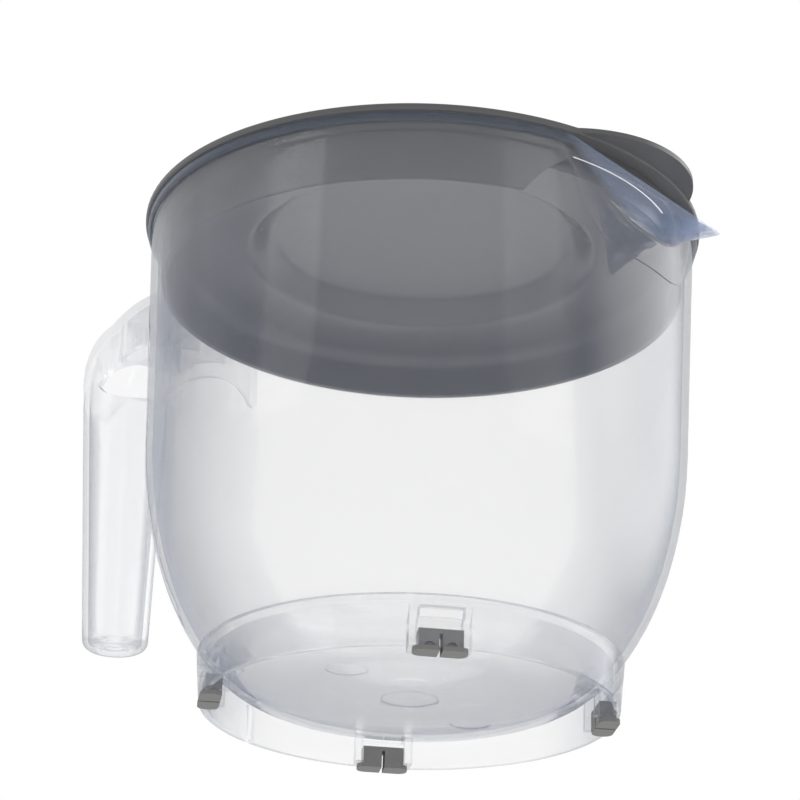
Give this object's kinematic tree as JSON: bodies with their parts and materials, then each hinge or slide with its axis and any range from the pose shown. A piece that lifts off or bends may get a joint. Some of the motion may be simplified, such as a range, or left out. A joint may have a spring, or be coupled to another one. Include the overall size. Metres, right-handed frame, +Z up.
{
  "type": "mixing jug",
  "caption": "Clear plastic two-litre mixing jug with a pouring spout, hollow cane handle, rubber feet and a dark drop-on lid.",
  "frame": {"origin": "on the jug's axis, on the plane that the rubber feet stand on", "axes": "+Z up along the jug's axis, +X towards the spout, -X towards the handle, +Y to the left for someone pouring"},
  "size_m": [0.238, 0.17, 0.1552],
  "materials": {
    "clear_plastic": "gloss, clear and nearly colourless",
    "lid_plastic": "satin dark grey",
    "foot_rubber": "matt mid grey"
  },
  "bodies": {
    "root": {"jug_body": "clear_plastic", "lid": "lid_plastic", "front_left_foot": "foot_rubber", "rear_left_foot": "foot_rubber", "rear_right_foot": "foot_rubber", "front_right_foot": "foot_rubber"}
  },
  "joints": []
}
